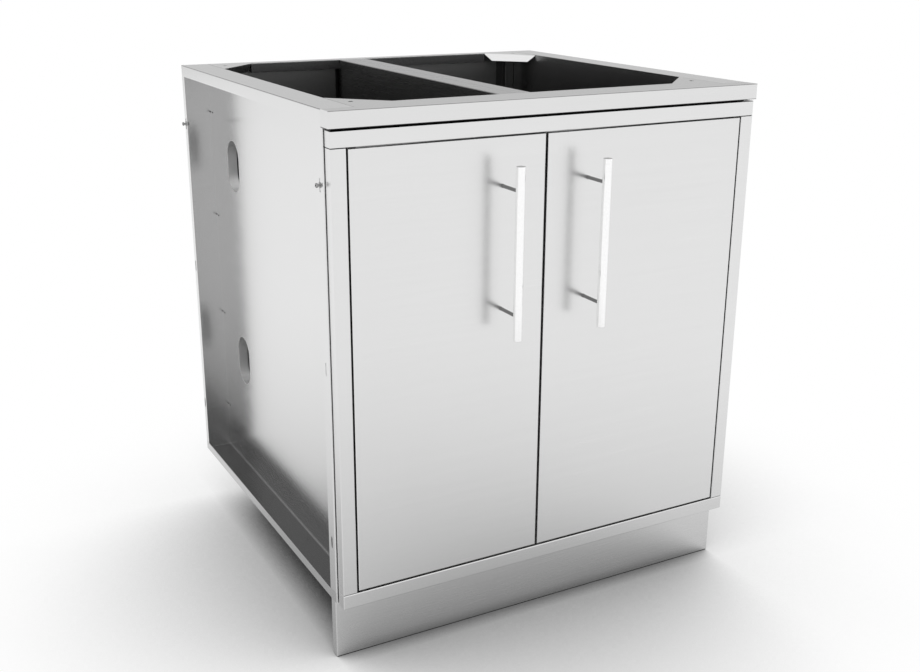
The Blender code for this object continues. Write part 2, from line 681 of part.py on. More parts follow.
def joining_bolt(name, y, root):
    """Bolt that draws this unit to its neighbour, in the upper slot of the left tray's lip."""
    outer = CONTACT_GAP
    inner = -(SHEET + CONTACT_GAP)
    profile = ((0, BOLT_PROUD), (BOLT_HEAD_RADIUS, BOLT_PROUD),
               (BOLT_HEAD_RADIUS, BOLT_PROUD - BOLT_HEAD_LENGTH),
               (BOLT_SHANK_RADIUS, BOLT_PROUD - BOLT_HEAD_LENGTH),
               (BOLT_SHANK_RADIUS, outer + BOLT_WASHER), (BOLT_WASHER_RADIUS, outer + BOLT_WASHER),
               (BOLT_WASHER_RADIUS, outer), (BOLT_SHANK_RADIUS, outer),
               (BOLT_SHANK_RADIUS, inner), (BOLT_HEAD_RADIUS, inner),
               (BOLT_HEAD_RADIUS, inner - BOLT_NUT_LENGTH), (0, inner - BOLT_NUT_LENGTH))
    towards_left = [(radius, -place) for radius, place in profile]
    turned(name, towards_left, (-HALF_WIDTH, y, HEIGHT * SLOT_HEIGHT_SHARES[-1]), zinc(name),
           root, "X", SMALL_ROUND_STEPS)


def leg_socket(name, x, y, root):
    """Moulded socket under the floor, with a blind bore for the levelling stem."""
    bore = SOCKET_RADIUS - SOCKET_WALL
    length = SOCKET_LENGTH
    profile = ((0, 0), (SOCKET_FLANGE_RADIUS, 0), (SOCKET_FLANGE_RADIUS, -SOCKET_FLANGE),
               (SOCKET_RADIUS, -SOCKET_FLANGE), (SOCKET_RADIUS, -length), (bore, -length),
               (bore, -SOCKET_FLANGE), (0, -SOCKET_FLANGE))
    turned(name, profile, (x, y, SOCKET_TOP), plastic(name), root)


def levelling_foot(name, x, y, joint):
    """Round pad, neck and collar; the stem screws up into the socket."""
    stem = SOCKET_RADIUS - SOCKET_WALL - CONTACT_GAP
    collar_top = SOCKET_BOTTOM - CONTACT_GAP
    collar_bottom = collar_top - FOOT_COLLAR
    profile = ((0, 0), (FOOT_RADIUS - FOOT_CHAMFER, 0), (FOOT_RADIUS, FOOT_CHAMFER),
               (FOOT_RADIUS, FOOT_HEIGHT - FOOT_CHAMFER), (FOOT_RADIUS - FOOT_CHAMFER, FOOT_HEIGHT),
               (FOOT_NECK_RADIUS, FOOT_HEIGHT), (FOOT_NECK_RADIUS, collar_bottom),
               (FOOT_COLLAR_RADIUS, collar_bottom), (FOOT_COLLAR_RADIUS, collar_top),
               (stem, collar_top), (stem, collar_top + FOOT_STEM_IN_SOCKET),
               (0, collar_top + FOOT_STEM_IN_SOCKET))
    turned(name, profile, (x, y, 0), plastic(name), joint)


def build():
    """Put the whole cabinet together."""
    clear_scene()
    root = empty("cabinet_root", CENTRE)
    root.location = (0, 0, 0)
    side_tray("left_side_panel", -1, root)
    side_tray("right_side_panel", 1, root)
    front_top_rail(root)
    back_top_rail(root)
    back_panel(root)
    floor_panel(root)
    partition_skin("partition_left_skin", -1, root)
    partition_skin("partition_right_skin", 1, root)
    face_frame(root)
    toe_kick(root)
    for word, side in (("left", -1), ("right", 1)):
        hinge = empty(f"{word}_door_hinge", pivot_point(side, DOOR_BOTTOM), root)
        door(word, side, hinge)
        pivot_bush(f"{word}_upper_bush", side, TOP_RAIL_BOTTOM, 1, root)
        pivot_bush(f"{word}_lower_bush", side, BOTTOM_RAIL_TOP, -1, root)
        magnetic_catch(word, side, root)
    front_slot, back_slot = slot_lines()
    joining_bolt("front_joining_bolt", front_slot, root)
    joining_bolt("back_joining_bolt", back_slot, root)
    for word, side in (("left", -1), ("right", 1)):
        for end, y in (("front", LEG_FROM_FRONT + FRONT), ("back", BACK - LEG_FROM_BACK)):
            x = side * (HALF_WIDTH - LEG_FROM_SIDE)
            leg_socket(f"{word}_{end}_leg_socket", x, y, root)
            joint = empty(f"{word}_{end}_foot_slide", (x, y, SOCKET_BOTTOM), root)
            levelling_foot(f"{word}_{end}_levelling_foot", x, y, joint)
    bpy.context.view_layer.update()


build()
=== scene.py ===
import math

import bmesh
import bpy
from mathutils import Matrix, Vector


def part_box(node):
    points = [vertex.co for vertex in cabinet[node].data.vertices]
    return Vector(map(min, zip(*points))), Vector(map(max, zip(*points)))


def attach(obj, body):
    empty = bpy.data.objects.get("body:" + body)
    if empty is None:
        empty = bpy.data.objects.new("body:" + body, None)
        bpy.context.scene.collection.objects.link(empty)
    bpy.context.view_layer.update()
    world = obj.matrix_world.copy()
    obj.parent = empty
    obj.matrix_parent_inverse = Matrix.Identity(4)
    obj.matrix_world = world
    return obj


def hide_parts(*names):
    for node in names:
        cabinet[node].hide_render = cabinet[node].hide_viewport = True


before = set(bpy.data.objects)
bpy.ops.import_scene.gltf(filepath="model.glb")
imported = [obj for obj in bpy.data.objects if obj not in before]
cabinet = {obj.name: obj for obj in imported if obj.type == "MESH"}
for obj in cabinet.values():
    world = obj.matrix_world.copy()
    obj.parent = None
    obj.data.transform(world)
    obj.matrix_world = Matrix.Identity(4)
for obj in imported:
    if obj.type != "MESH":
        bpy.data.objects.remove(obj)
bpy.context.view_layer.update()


# SIDE PANELS. Two trays of 1.2 mm stainless sheet with a brushed finish, folded outwards round a
# recess. The lips carry the joining slots, and the webs have two obround pass-throughs for pipes.
SHEET = 0.0012
FOLD_SOFTENING = 0.0005
FOLD_ANGLE = math.radians(35)
SEAM_WELD = 0.00001

# The layers of a brushed finish: noise per metre along x, y and z, its detail and its share.
GRAIN = ((9.0, 9.0, 1500.0), 2.0, 0.5)
STREAKS = ((1.6, 1.6, 120.0), 3.0, 0.3)
CLOUDS = ((7.0, 7.0, 7.0), 2.0, 0.2)
LAYER_SPAN = (0.3, 0.7)

# From which slope on a face counts as lying, how far a leaning one is tilted, and the heights
# between which the tone of low down passes into that of high up.
LYING = 0.7
LEAN = 0.6
FADE = (0.20, 0.72)


def link(tree, source, target):
    """Join an output to an input."""
    tree.links.new(source, target)


def node(tree, kind, **values):
    """New shader or geometry node with its inputs set by name."""
    made = tree.nodes.new(kind)
    for key, value in values.items():
        made.inputs[key.replace("_", " ")].default_value = value
    return made


def math_node(tree, operation, one, two):
    """Math on two values, each an output or a number."""
    made = tree.nodes.new("ShaderNodeMath")
    made.operation = operation
    for socket, value in zip(made.inputs, (one, two)):
        if isinstance(value, (int, float)):
            socket.default_value = value
        else:
            link(tree, value, socket)
    return made.outputs[0]


def apart(tree, source):
    """The x, y and z of a vector."""
    made = tree.nodes.new("ShaderNodeSeparateXYZ")
    link(tree, source, made.inputs[0])
    return made.outputs


def remap(tree, value, span, target):
    """Node that carries a value from one span to another and holds it at both ends."""
    made = node(tree, "ShaderNodeMapRange", From_Min=span[0], From_Max=span[1],
                To_Min=target[0], To_Max=target[1])
    link(tree, value, made.inputs["Value"])
    return made


def within(tree, value, low, high):
    """1 where an output lies between two numbers, otherwise 0."""
    return math_node(tree, "MULTIPLY", math_node(tree, "GREATER_THAN", value, low),
                     math_node(tree, "LESS_THAN", value, high))


def zone_mask(tree, where, limits):
    """1 on the faces whose place (x, y, z) and facing (nx, ny, nz) keep to the limits."""
    place = apart(tree, where.outputs["Object"])
    facing = apart(tree, where.outputs["Normal"])
    mask = 1.0
    for key, (low, high) in limits.items():
        source = (facing if key[0] == "n" else place)[key[-1].upper()]
        mask = math_node(tree, "MULTIPLY", within(tree, source, low, high), mask)
    return mask


def zoned(tree, where, colour, zones):
    """A colour dimmed or lifted within zones, each a share of the tone and its limits.

    Two shares, for low down and for high up, pass into each other over the middle of the height.
    The zones are painted shade and painted light.
    """
    for share, limits in zones:
        change = share
        if isinstance(share, tuple):
            fade = remap(tree, apart(tree, where.outputs["Object"])["Z"], FADE, share)
            fade.interpolation_type = "SMOOTHSTEP"
            change = fade.outputs[0]
        dim = tree.nodes.new("ShaderNodeVectorMath")
        dim.operation = "SCALE"
        change = math_node(tree, "MULTIPLY", zone_mask(tree, where, limits),
                           math_node(tree, "SUBTRACT", change, 1.0))
        link(tree, colour, dim.inputs[0])
        link(tree, math_node(tree, "ADD", change, 1.0), dim.inputs["Scale"])
        colour = dim.outputs[0]
    return colour


def new_surface(name, metallic):
    """Bare material: itself, its tree and its shader."""
    surface = bpy.data.materials.new(name)
    surface.use_nodes = True
    tree = surface.node_tree
    shader = tree.nodes["Principled BSDF"]
    shader.inputs["Metallic"].default_value = metallic
    return surface, tree, shader


def unevenness(tree, source, scale, detail, roughness):
    """Noise over a piece, as a value round one half."""
    noise = node(tree, "ShaderNodeTexNoise", Scale=scale, Detail=detail, Roughness=roughness)
    link(tree, source, noise.inputs["Vector"])
    return noise.outputs["Fac"]


def shades(tree, value, span, tone, play):
    """Colour that goes from one share of a tone to another as a value crosses a span."""
    ramp = tree.nodes.new("ShaderNodeValToRGB")
    for stop, place, share in zip(ramp.color_ramp.elements, span, play):
        stop.position = place
        stop.color = (*(min(1.0, share * part) for part in tone), 1)
    link(tree, value, ramp.inputs[0])
    return ramp.outputs[0]


def gloss(tree, shader, value, roughness, play, span=(0.0, 1.0)):
    """Roughness that plays round its middle as a value crosses a span."""
    spread = remap(tree, value, span, (roughness - play, roughness + play))
    link(tree, spread.outputs[0], shader.inputs["Roughness"])


def relief(tree, shader, height, strength, depth):
    """Fine relief of a finish; gives its node."""
    made = node(tree, "ShaderNodeBump", Strength=strength, Distance=depth)
    link(tree, height, made.inputs["Height"])
    link(tree, made.outputs[0], shader.inputs["Normal"])
    return made


def brushed_steel(name, tone, roughness, bump, zones=(), leaning=None):
    """Stainless sheet with a fine grain along its length.

    The grain runs level on upright faces. On lying faces, where the height does not change,
    it is read across the depth instead. Faces within the limits given as leaning catch the
    light as if they leaned back.
    """
    surface, tree, shader = new_surface(name, 1.0)
    where = tree.nodes.new("ShaderNodeTexCoord")
    place = apart(tree, where.outputs["Object"])
    facing = apart(tree, where.outputs["Normal"])
    lying = math_node(tree, "GREATER_THAN", math_node(tree, "ABSOLUTE", facing["Z"], 0.0), LYING)
    turned = tree.nodes.new("ShaderNodeCombineXYZ")
    for socket, axis in zip(turned.inputs, ("X", "Z", "Y")):
        link(tree, place[axis], socket)
    choose = tree.nodes.new("ShaderNodeMix")
    choose.data_type = "VECTOR"
    link(tree, lying, choose.inputs["Factor"])
    link(tree, where.outputs["Object"], choose.inputs["A"])
    link(tree, turned.outputs[0], choose.inputs["B"])
    layers, shares = [], []
    for per_metre, detail, share in (GRAIN, STREAKS, CLOUDS):
        stretch = tree.nodes.new("ShaderNodeMapping")
        stretch.inputs["Scale"].default_value = per_metre
        link(tree, choose.outputs["Result"], stretch.inputs["Vector"])
        layers.append(unevenness(tree, stretch.outputs[0], scale=1.0, detail=detail,
                                 roughness=0.6))
        shares.append(math_node(tree, "MULTIPLY", layers[-1], share))
    mixed = math_node(tree, "ADD", shares[0], math_node(tree, "ADD", shares[1], shares[2]))
    colour = shades(tree, mixed, LAYER_SPAN, tone=(tone,) * 3, play=(0.97, 1.02))
    link(tree, zoned(tree, where, colour, zones), shader.inputs["Base Color"])
    gloss(tree, shader, mixed, roughness, play=0.03, span=LAYER_SPAN)
    grain = relief(tree, shader, layers[0], strength=bump, depth=0.00002)
    if leaning:
        tilt = tree.nodes.new("ShaderNodeCombineXYZ")
        link(tree, math_node(tree, "MULTIPLY", zone_mask(tree, where, leaning), LEAN),
             tilt.inputs["Z"])
        lean = tree.nodes.new("ShaderNodeVectorMath")
        link(tree, where.outputs["Normal"], lean.inputs[0])
        link(tree, tilt.outputs[0], lean.inputs[1])
        unit = tree.nodes.new("ShaderNodeVectorMath")
        unit.operation = "NORMALIZE"
        link(tree, lean.outputs[0], unit.inputs[0])
        link(tree, unit.outputs[0], grain.inputs["Normal"])
    return surface


def soften(name, surface, width=FOLD_SOFTENING):
    """Give a sheet piece its finish and round its folds and cut edges a little."""
    piece = cabinet[name]
    piece.data.materials.clear()
    piece.data.materials.append(surface)
    weld = piece.modifiers.new("closed_edges", "WELD")
    weld.merge_threshold = SEAM_WELD
    bevel = piece.modifiers.new("soft_edges", "BEVEL")
    bevel.width = width
    bevel.segments = 2
    bevel.limit_method = "ANGLE"
    bevel.angle_limit = FOLD_ANGLE


# Limits of a facing: along an axis, against it, level without the rounded folds, and upright.
ALONG = (0.7, 1.1)
AGAINST = (-1.1, -0.7)
LEVEL = (0.9, 1.1)
UPRIGHT = (-0.7, 0.7)

# The recess's floor and its back wall are painted darker as the shade of their lips, with a
# painted highlight along the floor's fold, and the webs' inner faces are painted darker high up
# as the shade inside the cabinet. The lower lips are painted a little darker as shade, the level
# tops a little darker as the light falls on them, and the folds along the top and the seams
# against the top rails are painted as thin dark lines of shade.
RECESS_FLOOR = (0.09, 0.20)
RECESS_BACK = (0.33, 0.40)
LOWER_LIP = (0.10, 0.1214)
TRAY_TOP = (0.87, 0.88)
TOP_FOLD = (0.3, 0.9)
LEFT_FLOOR_FOLD, RIGHT_FLOOR_FOLD = (-0.3286, -0.3263), (0.3363, 0.3386)
LEFT_WEB, RIGHT_WEB = (-0.34, 0.0), (0.0, 0.345)
LEFT_LIP, RIGHT_LIP = (-0.39, -0.37), (0.37, 0.39)
LEFT_SEAM, RIGHT_SEAM = (-0.3264, -0.3240), (0.3340, 0.3364)
INNER_SHARE = (1.0, 0.38)
tray_steel = brushed_steel("brushed_tray", tone=0.79, roughness=0.24, bump=0.12, zones=(
    (0.16, {"nz": ALONG, "z": RECESS_FLOOR}),
    (2.20, {"nz": ALONG, "z": RECESS_FLOOR, "x": LEFT_FLOOR_FOLD}),
    (2.20, {"nz": ALONG, "z": RECESS_FLOOR, "x": RIGHT_FLOOR_FOLD}),
    (0.62, {"ny": AGAINST, "y": RECESS_BACK}),
    (INNER_SHARE, {"nx": ALONG, "x": LEFT_WEB}),
    (INNER_SHARE, {"nx": AGAINST, "x": RIGHT_WEB}),
    (0.86, {"nx": AGAINST, "x": LEFT_LIP, "z": LOWER_LIP}),
    (0.86, {"nx": ALONG, "x": RIGHT_LIP, "z": LOWER_LIP}),
    (0.92, {"nz": LEVEL, "z": TRAY_TOP}),
    (0.35, {"nz": TOP_FOLD, "z": TRAY_TOP}),
    (0.45, {"nz": LEVEL, "x": LEFT_SEAM, "z": TRAY_TOP}),
    (0.45, {"nz": LEVEL, "x": RIGHT_SEAM, "z": TRAY_TOP})))
for side in ("left", "right"):
    soften(f"{side}_side_panel", tray_steel)


# RIVETS. Blind rivets of stainless steel that hold the floor and the back to the webs: a row of
# them along the floor's flange, and pairs of them down the back's flange, on each side.
RIVET_RADIUS = 0.0017
RIVET_HEIGHT = 0.0010
RIVET_STEM_RADIUS = 0.0008
RIVET_STEM_PROUD = 1.25
RIVET_PAIR = 0.012
RIVET_FLOOR_HEIGHT = 0.1220
RIVET_FLOOR_DEPTHS = (-0.2350, -0.0520, 0.1320, 0.3140)
RIVET_BACK_DEPTH = 0.3735
RIVET_BACK_HEIGHTS = (0.1930, 0.3920, 0.5900, 0.7880)
FACING_LEFT = (0.0, -math.pi / 2, 0.0)
FACING_RIGHT = (0.0, math.pi / 2, 0.0)


def plain_metal(name, tone, roughness, scale, zones=()):
    """Metal of small turned pieces, slightly uneven in tone and in gloss."""
    surface, tree, shader = new_surface(name, 1.0)
    where = tree.nodes.new("ShaderNodeTexCoord")
    noise = unevenness(tree, where.outputs["Object"], scale, detail=3.0, roughness=0.55)
    colour = shades(tree, noise, span=(0.35, 0.65), tone=(tone,) * 3, play=(0.95, 1.0))
    link(tree, zoned(tree, where, colour, zones), shader.inputs["Base Color"])
    gloss(tree, shader, noise, roughness, play=0.05)
    relief(tree, shader, noise, strength=0.1, depth=0.00005)
    return surface


def heads_tree(name, sizes, surface):
    """Geometry tree that puts a head on each point: itself, its inputs and its placing node."""
    tree = bpy.data.node_groups.new(name, "GeometryNodeTree")
    tree.interface.new_socket("Geometry", in_out="INPUT", socket_type="NodeSocketGeometry")
    for word in sizes:
        tree.interface.new_socket(word, in_out="INPUT", socket_type="NodeSocketFloat")
    tree.interface.new_socket("Facing", in_out="INPUT", socket_type="NodeSocketRotation")
    tree.interface.new_socket("Geometry", in_out="OUTPUT", socket_type="NodeSocketGeometry")
    start = tree.nodes.new("NodeGroupInput")
    end = tree.nodes.new("NodeGroupOutput")
    place = tree.nodes.new("GeometryNodeInstanceOnPoints")
    real = tree.nodes.new("GeometryNodeRealizeInstances")
    smooth = tree.nodes.new("GeometryNodeSetShadeSmooth")
    paint = node(tree, "GeometryNodeSetMaterial", Material=surface)
    link(tree, start.outputs["Geometry"], place.inputs["Points"])
    link(tree, start.outputs["Facing"], place.inputs["Rotation"])
    link(tree, place.outputs["Instances"], real.inputs["Geometry"])
    link(tree, real.outputs["Geometry"], smooth.inputs["Geometry"])
    link(tree, smooth.outputs["Geometry"], paint.inputs["Geometry"])
    link(tree, paint.outputs["Geometry"], end.inputs["Geometry"])
    return tree, start.outputs, place


def scaled(tree, source, x, y, z):
    """A piece of geometry scaled by three outputs."""
    stretch = tree.nodes.new("GeometryNodeTransform")
    size = tree.nodes.new("ShaderNodeCombineXYZ")
    for socket, value in zip(size.inputs, (x, y, z)):
        link(tree, value, socket)
    link(tree, source, stretch.inputs["Geometry"])
    link(tree, size.outputs[0], stretch.inputs["Scale"])
    return stretch.outputs["Geometry"]


def rivet_tree(surface):
    """Low dome with the end of its stem showing in the middle."""
    tree, sizes, place = heads_tree("rivets", ("Head radius", "Head height", "Stem radius"),
                                    surface)
    radius, height, stem_radius = sizes["Head radius"], sizes["Head height"], sizes["Stem radius"]
    dome = node(tree, "GeometryNodeMeshUVSphere", Segments=24, Rings=12, Radius=1.0)
    stem = node(tree, "GeometryNodeMeshUVSphere", Segments=16, Rings=8, Radius=1.0)
    head = scaled(tree, dome.outputs["Mesh"], radius, radius, height)
    pip = scaled(tree, stem.outputs["Mesh"], stem_radius, stem_radius,
                 math_node(tree, "MULTIPLY", height, RIVET_STEM_PROUD))
    both = tree.nodes.new("GeometryNodeJoinGeometry")
    link(tree, head, both.inputs[0])
    link(tree, pip, both.inputs[0])
    link(tree, both.outputs[0], place.inputs["Instance"])
    return tree


def placed(name, data):
    """New object in the scene."""
    made = bpy.data.objects.new(name, data)
    bpy.context.scene.collection.objects.link(made)
    return made


def fixings(name, tree, points, facing, sizes, body):
    """Row of heads on the given points, made into one plain mesh that rides on a body."""
    mesh = bpy.data.meshes.new(name + "_points")
    mesh.from_pydata(points, [], [])
    start = placed(name + "_points", mesh)
    modifier = start.modifiers.new("heads", "NODES")
    modifier.node_group = tree
    for item in tree.interface.items_tree:
        if item.in_out == "INPUT" and item.name in sizes:
            modifier[item.identifier] = sizes[item.name]
        if item.in_out == "INPUT" and item.name == "Facing":
            modifier[item.identifier] = facing
    bpy.context.view_layer.update()
    graph = bpy.context.evaluated_depsgraph_get()
    made = bpy.data.meshes.new_from_object(start.evaluated_get(graph), depsgraph=graph)
    start.modifiers.remove(modifier)
    bpy.data.objects.remove(start)
    made.name = name
    piece = placed(name, made)
    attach(piece, body)


def web_face(side, sign):
    """Where the outer face of a side's web lies between left and right."""
    low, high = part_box(f"{side}_side_panel")
    return (high.x if sign < 0 else low.x) + sign * SHEET


# The rivet heads are painted dark, as the shade on their small domes.
rivets = rivet_tree(plain_metal("rivet_steel", tone=0.18, roughness=0.4, scale=900.0))
rivet_sizes = {"Head radius": RIVET_RADIUS, "Head height": RIVET_HEIGHT,
               "Stem radius": RIVET_STEM_RADIUS}
for side, sign, facing in (("left", -1, FACING_LEFT), ("right", 1, FACING_RIGHT)):
    face = web_face(side, sign)
    spots = [(face, y, RIVET_FLOOR_HEIGHT) for y in RIVET_FLOOR_DEPTHS]
    spots += [(face, RIVET_BACK_DEPTH + shift, z) for z in RIVET_BACK_HEIGHTS
              for shift in (-RIVET_PAIR / 2, RIVET_PAIR / 2)]
    fixings(f"{side}_web_rivets", rivets, spots, facing, rivet_sizes, "cabinet")


# PASS-THROUGH COLLARS. Pressed steel collars line the obround holes, held by a rim behind the
# web, so that a pipe or a hose does not rub on the cut edge.
OVAL_WIDTH = 0.0635
OVAL_HEIGHT = 0.0955
OVAL_DEPTH_PLACE = 0.2575
OVAL_MIDDLES = (0.3251, 0.7028)
COLLAR_REACH = 0.0172
COLLAR_WALL = 0.0010
COLLAR_RIM = 0.0040
COLLAR_FIT = 0.00005
COLLAR_STEPS = 24
SMOOTH_ANGLE = math.radians(32)


def obround_ring(place, height, inwards, x):
    """Points round an obround that lies inwards of the hole's edge by a small amount."""
    reach = OVAL_WIDTH / 2 - inwards
    straight = (OVAL_HEIGHT - OVAL_WIDTH) / 2
    points = []
    for end, start in ((1, 0.0), (-1, math.pi)):
        for k in range(COLLAR_STEPS + 1):
            angle = start + math.pi * k / COLLAR_STEPS
            points.append(Vector((x, place + reach * math.cos(angle),
                                  height + end * straight + reach * math.sin(angle))))
    return points


def object_from(mesh, name, surface):
    """Turn a built mesh into an object with its finish."""
    data = bpy.data.meshes.new(name)
    mesh.to_mesh(data)
    mesh.free()
    data.materials.append(surface)
    return placed(name, data)


def rings_object(name, shells, surface, hoops=False):
    """Closed shells, each a skin over a row of rings of points, shaded smooth.

    Hoops come back to their first ring. Other shells are closed by a face at either end.
    """
    mesh = bmesh.new()
    for rings in shells:
        rows = [[mesh.verts.new(point) for point in ring] for ring in rings]
        for one, two in zip(rows, rows[1:] + (rows[:1] if hoops else [])):
            for k in range(len(one)):
                after = (k + 1) % len(one)
                mesh.faces.new((one[k], one[after], two[after], two[k]))
        if not hoops:
            mesh.faces.new(rows[0])
            mesh.faces.new(rows[-1])
    bmesh.ops.remove_doubles(mesh, verts=mesh.verts, dist=0.000001)
    bmesh.ops.recalc_face_normals(mesh, faces=mesh.faces)
    piece = object_from(mesh, name, surface)
    piece.data.shade_smooth()
    piece.data.set_sharp_from_angle(angle=SMOOTH_ANGLE)
    return piece


# The collars are painted a little darker than the sheet, as the shade in the holes.
collar_steel = brushed_steel("collar_steel", tone=0.74, roughness=0.62, bump=0.12)
collar_section = ((COLLAR_FIT, 0.0), (COLLAR_FIT + COLLAR_WALL, 0.0),
                  (COLLAR_FIT + COLLAR_WALL, COLLAR_REACH), (COLLAR_FIT, COLLAR_REACH),
                  (COLLAR_FIT, SHEET + COLLAR_WALL), (-COLLAR_RIM, SHEET + COLLAR_WALL),
                  (-COLLAR_RIM, SHEET + COLLAR_FIT), (COLLAR_FIT, SHEET + COLLAR_FIT))
for side, sign in (("left", -1), ("right", 1)):
    face = web_face(side, sign)
    hoops = [[obround_ring(OVAL_DEPTH_PLACE, middle, inwards, face - sign * deep)
              for inwards, deep in collar_section] for middle in OVAL_MIDDLES]
    collars = rings_object(f"{side}_oval_collars", hoops, collar_steel, hoops=True)
    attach(collars, "cabinet")


# FLOOR AND BACK. A floor pan turned upside down, and a back sheet with pressed channels, both of
# the same brushed sheet and riveted between the trays.
FLOOR_TOP = (0.0, 0.3)
CHANNEL_BED = (0.3690, 0.3790)
TO_THE_FRONT = (-1.1, -0.5)
NOT_TO_THE_BACK = (-1.1, 0.3)
TO_THE_BACK = (0.3, 1.1)

# The inside's sheet is painted dark as the shade of the closed cabinet, most of all high up. Less
# shade is painted low down, on the floor pan and on the faces that look out at the back or down,
# and the beds of the pressed channels are painted darker as bands of shade.
inner_steel = brushed_steel("brushed_inner_sheet", tone=0.25, roughness=0.33, bump=0.10, zones=(
    (0.40, {"y": CHANNEL_BED, "ny": TO_THE_FRONT}),
    ((2.60, 0.96), {"ny": NOT_TO_THE_BACK, "nz": UPRIGHT}),
    (2.60, {"nz": ALONG, "z": FLOOR_TOP}),
    (3.00, {"ny": TO_THE_BACK}),
    (3.00, {"nz": AGAINST})))
soften("floor_panel", inner_steel)
soften("back_panel", inner_steel)


# PARTITION. Two folded skins that meet in a seam along the middle, standing on the floor and
# tied to the top rails. Together they make a hollow wall.
# The partition's sheet is painted dark as the shade inside the cabinet: on its upright faces less
# so low down and more so high up.
partition_steel = brushed_steel("brushed_partition", tone=0.46, roughness=0.28, bump=0.06,
                                zones=(((1.45, 0.53), {"nz": UPRIGHT}),))
soften("partition_left_skin", partition_steel)
soften("partition_right_skin", partition_steel)


# TOP RAILS. Front and back rails of brushed sheet with a three-cornered wing in each corner, all
# with their inner edges folded down. The front one also has the fascia.
FRONT_PART, BACK_PART = (-0.39, -0.20), (-0.20, 0.39)
FASCIA_BACK = (-0.34, -0.30)
FASCIA_FOOT = (0.8500, 0.8521)
FASCIA_FOLD = {"ny": (-1.1, -0.3), "y": (-0.34, -0.32), "z": (0.8753, 0.8770)}
FRONT_FLANGE = (-0.30, -0.20)
BACK_FLANGE = {"ny": (-1.1, -0.9), "y": (0.34, 0.37), "z": (0.85, 0.8750)}
LEFT_BACK_WING = {"nx": (0.1, 1.1), "ny": (-0.95, 0.5), "y": (0.2, 0.37), "z": (0.84, 0.8750)}
RIGHT_BACK_WING = {"nx": (-0.9, -0.5), "ny": (-0.9, -0.5), "z": (0.84, 0.8755)}

# The level tops are painted a little darker at the front than at the back, as the light falls on
# them. The undersides and the flanges that look into the cabinet are painted dark as shade, the
# fascia's foot is painted dark as the shadow gap under it, and its top fold is painted as a thin
# dark line of shade. The right back wing is painted lighter and its shading leans back, so that it
# catches the light.
top_steel = brushed_steel("brushed_top", tone=0.77, roughness=0.24, bump=0.12, zones=(
    (0.83, {"nz": LEVEL, "y": FRONT_PART}),
    (0.98, {"nz": LEVEL, "y": BACK_PART}),
    (0.15, {"nz": AGAINST}),
    (0.15, {"ny": ALONG, "y": FASCIA_BACK}),
    (0.05, {"ny": AGAINST, "y": FRONT_FLANGE}),
    (0.06, {"z": FASCIA_FOOT}),
    (0.40, FASCIA_FOLD),
    (0.28, BACK_FLANGE),
    (0.28, LEFT_BACK_WING),
    (1.08, RIGHT_BACK_WING)), leaning=RIGHT_BACK_WING)
soften("top_front_rail", top_steel)
soften("top_back_rail", top_steel)


# FACE FRAME AND TOE KICK. Folded rails and stiles round the doors, and a set-back kick plate
# below them, from the same sheet.
RAIL_TOP = (0.8477, 0.86)
UPPER_SEAM = (0.8240, 0.8250)
UPPER_SEAM_AT_SIDES = (0.8235, 0.8250)
LOWER_SEAM = (0.1250, 0.1266)
LEFT_STILE, RIGHT_STILE = (-0.40, -0.34), (0.35, 0.40)
LEFT_STILE_EDGE = {"nx": (0.3, 1.1), "x": (-0.36, -0.33)}

# The seams between rails and stiles are painted as thin dark lines of shade, and so are the rail's
# top edge in the shadow gap under the fascia and the left stile's edge by the door.
front_steel = brushed_steel("brushed_front", tone=0.79, roughness=0.24, bump=0.12, zones=(
    (0.05, {"z": RAIL_TOP}),
    (0.10, {"z": UPPER_SEAM}),
    (0.10, LEFT_STILE_EDGE),
    (0.35, {"z": UPPER_SEAM_AT_SIDES, "x": LEFT_STILE}),
    (0.35, {"z": UPPER_SEAM_AT_SIDES, "x": RIGHT_STILE}),
    (0.30, {"z": LOWER_SEAM})))
low_steel = brushed_steel("brushed_low_front", tone=0.77, roughness=0.26, bump=0.06)
for name in ("face_top_rail", "face_left_stile", "face_right_stile"):
    soften(name, front_steel)
for name in ("face_bottom_rail", "toe_kick"):
    soften(name, low_steel)


# DOORS. Each is a folded front skin with a liner pressed into its back. The grain runs level on
# the skins as it does on the frame. The liners take the inside's sheet with its painted shade.
door_steel = brushed_steel("brushed_door", tone=0.79, roughness=0.25, bump=0.12)
for side in ("left", "right"):
    soften(f"{side}_door_skin", door_steel)
    soften(f"{side}_door_liner", inner_steel)


# HANDLES. Round bar pulls of bright stainless rod, each on two slimmer posts that are coped to the
# bar and screwed on from inside the door.
BAR_EDGE = 0.0006
BAR_SIDES = 96
POST_SIDES = 48
POST_SLIMNESS = 0.74
FOOT_RING = 0.0004
HANDLE_SCREW_RADIUS = 0.0042
HANDLE_SCREW_HEIGHT = 0.0021
HANDLE_SCREW_RECESS = 0.0011
CROSS_LENGTH = 1.15
CROSS_MIDDLE = 0.9
FACING_BACK = (-math.pi / 2, 0.0, 0.0)


def screw_tree(surface):
    """Pan head with a cross recess cut into it."""
    tree, sizes, place = heads_tree("screws", ("Head radius", "Head height", "Recess"), surface)
    radius, height, width = sizes["Head radius"], sizes["Head height"], sizes["Recess"]
    dome = node(tree, "GeometryNodeMeshUVSphere", Segments=32, Rings=16, Radius=1.0)
    head = scaled(tree, dome.outputs["Mesh"], radius, radius, height)
    recess = tree.nodes.new("GeometryNodeMeshBoolean")
    recess.operation = "DIFFERENCE"
    recess.solver = "EXACT"
    link(tree, head, recess.inputs["Mesh 1"])
    length = math_node(tree, "MULTIPLY", radius, CROSS_LENGTH)
    for across, along in ((width, length), (length, width)):
        bar = node(tree, "GeometryNodeMeshCube", Size=(1.0, 1.0, 1.0))
        lift = node(tree, "GeometryNodeTransform", Translation=(0, 0, CROSS_MIDDLE))
        link(tree, bar.outputs["Mesh"], lift.inputs["Geometry"])
        slot = scaled(tree, lift.outputs["Geometry"], across, along, height)
        link(tree, slot, recess.inputs["Mesh 2"])
    link(tree, recess.outputs["Mesh"], place.inputs["Instance"])
    return tree


